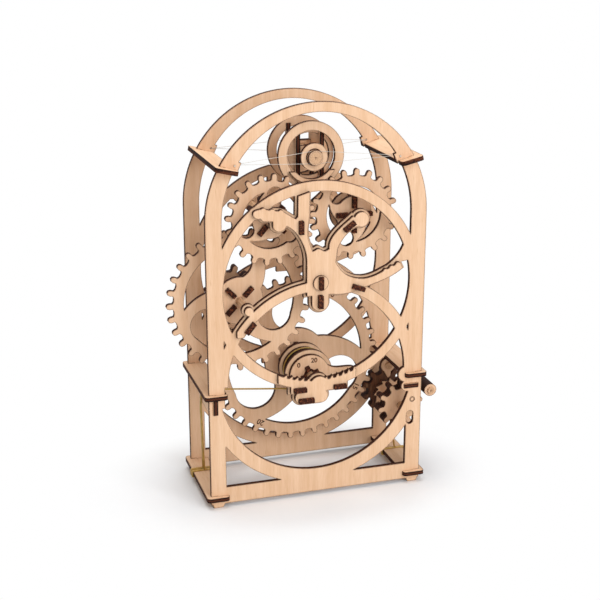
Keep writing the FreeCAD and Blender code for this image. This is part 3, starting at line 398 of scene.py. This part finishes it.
# widths and thicknesses of the bands
SLACK = (1.6, 1.1)          # hanging runs and loops, lying flat
ON_DRUM = (1.1, 0.9)        # the drive band's turn on the drum
TAUT = (1.2, 1.2)           # a stretched run, and the winding band's turn
WINDING_RUN = (1.3, 1.2)
WRAP_GAP = 0.75             # from a base plate's face to the middle of the band round it
SHAFT_TURN_IN = 0.75        # from the winding band's back to the middle of its turn
DRUM_GAP = 0.55             # from the drum's face to the middle of the turn on it
GUIDE_GAP = 0.9             # from the guide's face to the middle of the band at its eye
EYE_Z = 77.2                # height of the guide's eye
DRUM_TURN_IN = 2.1          # from the drive band's front to its turn on the drum
LEAVES_DRUM = (-0.14, -0.99)    # where the band leaves the drum, as a direction from its axis
LEAVES_SHAFT = (0.17, -0.98)    # and where it leaves the winding shaft
RUN_YS = (9.1, 12.6)        # the drive band's two lower runs, at the base plate
SPREAD = 0.2                # their share of that y below the guide
BELOW_GUIDE = 2.0
RUN_FOOT_IN = 2.1           # from the guide's face to the lower runs' feet
RUN_BEND = 3.0
LOOP_BEND = 0.9
TURN_STEPS = 32             # points round a small turn
SHAFT_WRAP = 3.4            # radius of the winding band's turn round its shaft
WINDING_FOOT = (4.6, 2.2)   # its foot, from the shaft's axis in x and from the band's front in y


def plate_loop(plate, y):
    """A band's loop round a base plate."""
    low, high = node_box_mm(plate)
    x0, x1 = low.x - WRAP_GAP, high.x + WRAP_GAP
    z0, z1 = low.z - WRAP_GAP, high.z + WRAP_GAP
    corners = [(x0, y, z0), (x1, y, z0), (x1, y, z1), (x0, y, z1)]
    return sweep(rounded(corners, LOOP_BEND, closed=True), *SLACK, closed=True)


def leaving(centre, wrap, y, direction):
    """The point where a band leaves its turn."""
    return (centre[0] + direction[0] * wrap, y, centre[1] + direction[1] * wrap)


def band_pieces(rubber):
    """The rubber bands: looped round the base plates and wound on the drum and the winding shaft."""
    plate_top = node_box_mm("base_plate_left")[1].z + WRAP_GAP
    main = joint_place("main_turn")
    guide = node_box_mm("band_guide_left")[0]
    drum_low, drum_high = node_box_mm("drum_core")
    wrap = (drum_high.x - drum_low.x) / 2 + DRUM_GAP
    drum_y = node_box_mm("drive_band")[0].y + DRUM_TURN_IN
    eye = (guide.x - GUIDE_GAP, drum_y, EYE_Z)
    parts = [sweep(circle(main, wrap, drum_y), *ON_DRUM, closed=True)]
    parts.append(sweep([leaving(main, wrap, drum_y, LEAVES_DRUM), eye], *TAUT))
    for y in RUN_YS:
        below = (eye[0], SPREAD * y, guide.z - BELOW_GUIDE)
        run = [eye, below, (guide.x + RUN_FOOT_IN, y, plate_top)]
        parts.append(sweep(rounded(run, RUN_BEND), *SLACK))
        parts.append(plate_loop("base_plate_left", y))
    piece = mesh_piece("latex_drive_band", *gathered(parts), rubber)
    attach(piece, "frame")
    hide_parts("drive_band")

    winding = joint_place("winding_turn")
    low, high = node_box_mm("winding_band")
    turn_y = high.y - SHAFT_TURN_IN
    foot_y = low.y + WINDING_FOOT[1]
    parts = [sweep(circle(winding, SHAFT_WRAP, turn_y, TURN_STEPS), *TAUT, closed=True)]
    start = leaving(winding, SHAFT_WRAP, turn_y, LEAVES_SHAFT)
    parts.append(sweep([start, (winding[0] + WINDING_FOOT[0], foot_y, plate_top)], *WINDING_RUN))
    parts.append(plate_loop("base_plate_right", foot_y))
    piece = mesh_piece("latex_winding_band", *gathered(parts), rubber)
    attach(piece, "frame")
    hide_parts("winding_band")


THREAD = (0.3, 0.3)
THREAD_SIDES = 6
THREAD_IN = 0.3             # from a CAD thread's inner end to the turns on the staff
TURN_SHIFTS = (-0.2, 0.2)   # the two turns lie beside each other
STAFF_WRAP = 4.35           # radius of the turns on the staff
KNOT_PLACE = (57.2, -0.7)   # from the staff's axis to a knot, outwards and up
PAST_FRAME = 0.5            # how far the thread reaches past the frame's faces
KNOT_RADIUS = 0.42
KNOT_STEPS = 12
KNOT_THREAD = (0.55, 0.55)


def thread_pieces(thread):
    """Each suspension thread: turns on the balance's staff, and two runs to a knot on each side."""
    staff = joint_place("balance_swing")
    for end, inner, inward in (("front", 1, 1), ("back", 0, -1)):
        name = "suspension_thread_" + end
        y = node_box_mm(name)[inner].y - inward * THREAD_IN
        faces = node_box_mm(end + "_frame")
        inside = faces[inner].y + inward * PAST_FRAME
        outside = faces[1 - inner].y - inward * PAST_FRAME
        turns = [circle(staff, STAFF_WRAP, y + shift, TURN_STEPS) for shift in TURN_SHIFTS]
        parts = [sweep(turn, *THREAD, closed=True, sides=THREAD_SIDES) for turn in turns]
        for side in (-1, 1):
            x, z = staff[0] + side * KNOT_PLACE[0], staff[1] + KNOT_PLACE[1]
            for up in (-1, 1):
                run = [(staff[0], y, staff[1] + up * STAFF_WRAP), (x, inside, z)]
                parts.append(sweep(run, *THREAD, sides=THREAD_SIDES))
            parts.append(sweep([(x, inside, z), (x, outside, z)], *THREAD, sides=THREAD_SIDES))
            knot = circle((x, z), KNOT_RADIUS, outside, KNOT_STEPS)
            parts.append(sweep(knot, *KNOT_THREAD, closed=True, sides=THREAD_SIDES))
        piece = mesh_piece(name + "_twisted", *gathered(parts), thread)
        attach(piece, "frame")
        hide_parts(name)


STROKE_MM = 0.12            # how much the burnt line thickens each stroke of a number
NUMBER_LIFT = 0.04          # from a face to the numbers on it
RIM_NUMBERS = ("15", "10", "5", "20")   # a quarter turn apart
RIM_NUMBER_RADIUS = 54.4
RIM_NUMBER_START = -30      # the first one's angle about the axle, in degrees
RIM_NUMBER_SIZE = 5.6
DIAL_NUMBERS = (("0", -8.2, 7.6), ("20", 3.2, 10.2))    # with x and z from the axle
DIAL_NUMBER_SIZE = 4.8
RING_LIFT = 0.02            # from a face to the burnt rings and the painted shadow ring on it
RING_THICK = 0.08


def engraved(name, words, centre, y, turn, size_mm, material, body):
    """Plain numbers burnt into a front face."""
    curve = bpy.data.curves.new(name, "FONT")
    curve.body = words
    curve.size = size_mm * MM
    curve.align_x = "CENTER"
    curve.align_y = "CENTER"
    curve.offset = STROKE_MM * MM
    lettered = bpy.data.objects.new(name, curve)
    bpy.context.collection.objects.link(lettered)
    lettered.location = (centre[0] * MM, y * MM, centre[1] * MM)
    lettered.rotation_euler = (math.pi / 2, -math.radians(turn), 0)
    curve.materials.append(material)
    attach(lettered, body)


def burnt_marks_and_painted_shadow_ring(material):
    """Dark marks: a painted shadow ring on the hub's face round the staff, a burnt ring on the dial's
    face, and a small burnt one amid two dowels' ends.
    """
    staff, handle = joint_place("balance_swing"), joint_place("handle_spin")
    # name, body, centre, the node whose front face it lies on, radius and width
    # the hub's ring is painted shadow: char colour standing in for the shade in the gap round the staff
    marks = (("hub_painted_shadow_ring", "balance", staff, "balance_hub_disc", 5.8, 1.8),
             ("dial_scorched_ring", "main_arbor", joint_place("main_turn"), "dial_pointer", 4.3, 3.4),
             ("staff_centre_mark", "balance", staff, "balance_staff", 0.7, 0.5),
             ("handle_centre_mark", "crank_handle", handle, "handle_pin", 0.7, 0.5))
    for name, body, centre, node, radius, wide in marks:
        turn = circle(centre, radius, node_box_mm(node)[0].y - RING_LIFT)
        piece = mesh_piece(name, *sweep(turn, RING_THICK, wide, closed=True, sides=8), material)
        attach(piece, body)


def engraved_numbers(material):
    """The numbers round the main wheel's rim and on the dial."""
    axis = joint_place("main_turn")
    rim_y = node_box_mm("main_wheel")[0].y - NUMBER_LIFT
    for k, words in enumerate(RIM_NUMBERS):
        angle = RIM_NUMBER_START + 90 * k
        x = axis[0] + RIM_NUMBER_RADIUS * math.cos(math.radians(angle))
        z = axis[1] + RIM_NUMBER_RADIUS * math.sin(math.radians(angle))
        size, turn = RIM_NUMBER_SIZE, angle - 90
        engraved("rim_number_" + words, words, (x, z), rim_y, turn, size, material, "main_arbor")
    dial_y = node_box_mm("dial_pointer")[0].y - NUMBER_LIFT
    for words, x, z in DIAL_NUMBERS:
        place, size = (axis[0] + x, axis[1] + z), DIAL_NUMBER_SIZE
        engraved("dial_number_" + words, words, place, dial_y, 0, size, material, "main_arbor")


# ---------------------------------------------------------------- studio
CAMERA = Vector((-244.15, -787.3, 395.3)) * MM
LOOK = Vector((0.28273, 0.91083, -0.30080))
SENSOR_MM = 36.0
LENS_MM = 73.3254
# name, place, width in metres, watts and colour
LAMPS = (("key", (0.40, -1.30, 0.85), 1.2, 19.0, "#fafbff"),
         ("overhead", (-0.05, 0.15, 1.7), 1.3, 20.5, "#ffffff"))
LAMPS_AIM = Vector((0, 0, 0.13))
AMBIENT = 0.40              # how strongly the white surroundings light the object
FLOOR_SIZE = 12.0
WHITE_REACH = (0.175, 0.105, 1.0)   # half lengths of the oval beyond which the floor is white
WHITE_START = 0.62          # where it starts to turn white, as a share of that
PAPER = (0.8, 0.8, 0.8, 1)
WHITE = (1, 1, 1, 1)


def place_and_aim(made, place, direction):
    """Link a camera or lamp, standing at place and looking in the given direction."""
    made.location = place
    made.rotation_mode = "QUATERNION"
    made.rotation_quaternion = direction.to_track_quat("-Z", "Y")
    bpy.context.collection.objects.link(made)


def studio():
    """The camera, two soft lamps and the white surroundings."""
    data = bpy.data.cameras.new("camera")
    data.sensor_width = SENSOR_MM
    data.lens = LENS_MM
    camera = bpy.data.objects.new("camera", data)
    place_and_aim(camera, CAMERA, LOOK)
    bpy.context.scene.camera = camera

    for name, place, size, watts, colour in LAMPS:
        data = bpy.data.lights.new(name, "AREA")
        data.energy = watts
        data.size = size
        data.color = hex_linear(colour)[:3]
        place_and_aim(bpy.data.objects.new(name, data), place, LAMPS_AIM - Vector(place))

    world = bpy.data.worlds.new("studio")
    bpy.context.scene.world = world
    world.use_nodes = True
    tree = world.node_tree
    tree.nodes.clear()
    rays = add(tree, "ShaderNodeLightPath")
    seen = computed(tree, "MAXIMUM", rays.outputs["Is Camera Ray"], rays.outputs["Is Glossy Ray"])
    strength = ranged(tree, seen, 0.0, 1.0, low=AMBIENT)
    glow = add(tree, "ShaderNodeBackground", {"Color": WHITE, "Strength": strength})
    add(tree, "ShaderNodeOutputWorld", {"Surface": glow.outputs[0]})


def floor():
    """White paper: matt near the object, where its shadow lies, and evenly lit further out."""
    bpy.ops.mesh.primitive_plane_add(size=FLOOR_SIZE, location=(0, 0, 0))
    plane = bpy.context.object
    plane.name = "floor"
    material, tree = new_material("white_paper")
    rays = add(tree, "ShaderNodeLightPath")
    place = add(tree, "ShaderNodeTexCoord").outputs["Object"]
    oval = add(tree, "ShaderNodeVectorMath", {0: place, 1: WHITE_REACH}, operation="DIVIDE")
    reach = add(tree, "ShaderNodeVectorMath", {0: oval.outputs[0]}, operation="LENGTH")
    far = ranged(tree, reach.outputs["Value"], WHITE_START, 1.0, interpolation_type="SMOOTHSTEP")
    matt = add(tree, "ShaderNodeBsdfDiffuse", {"Color": PAPER}).outputs[0]
    white = add(tree, "ShaderNodeEmission", {"Color": WHITE, "Strength": 1.0}).outputs[0]
    seen = add(tree, "ShaderNodeMixShader", {0: far, 1: matt, 2: white}).outputs[0]
    is_seen = rays.outputs["Is Camera Ray"]
    shown = add(tree, "ShaderNodeMixShader", {0: is_seen, 1: matt, 2: seen})
    add(tree, "ShaderNodeOutputMaterial", {"Surface": shown.outputs[0]})
    plane.data.materials.append(material)


dress_nodes()
studio()
floor()
bpy.context.scene.view_settings.view_transform = "Standard"
